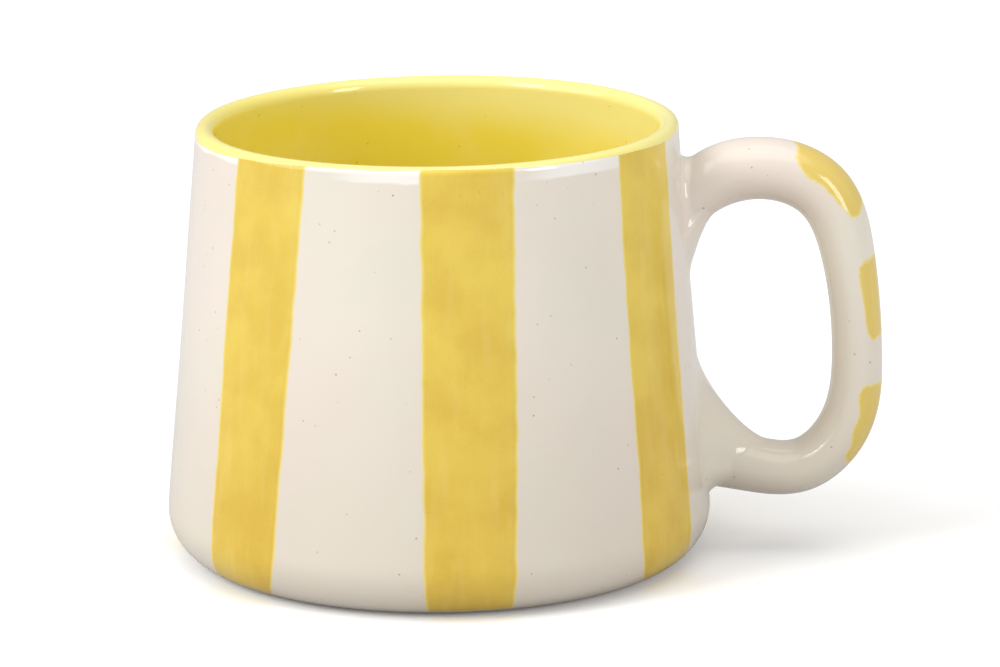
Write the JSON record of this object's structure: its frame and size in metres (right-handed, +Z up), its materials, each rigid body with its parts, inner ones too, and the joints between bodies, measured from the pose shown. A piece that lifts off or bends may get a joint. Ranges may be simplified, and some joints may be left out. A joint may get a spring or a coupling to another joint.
{
  "type": "mug",
  "caption": "Low cone-shaped ceramic mug with a loop handle, painted upright bands outside and a coloured glaze lining.",
  "frame": {"origin": "centre of the mug's flat base, on the axis of its wall", "axes": "+Z up towards the mouth, +X from the axis towards the handle"},
  "size_m": [0.13, 0.0988, 0.08],
  "materials": {
    "cream_glaze": "gloss",
    "yellow_liner": "gloss",
    "yellow_band": "gloss"
  },
  "bodies": {
    "root": {"body": "cream_glaze", "liner_glaze": "yellow_liner", "handle": "cream_glaze", "upper_handle_joint": "cream_glaze", "lower_handle_joint": "cream_glaze", "wall_band_1": "yellow_band", "wall_band_2": "yellow_band", "wall_band_3": "yellow_band", "wall_band_4": "yellow_band", "wall_band_5": "yellow_band", "wall_band_6": "yellow_band", "wall_band_7": "yellow_band", "handle_dab_1": "yellow_band", "handle_dab_2": "yellow_band", "handle_dab_3": "yellow_band"}
  },
  "joints": []
}
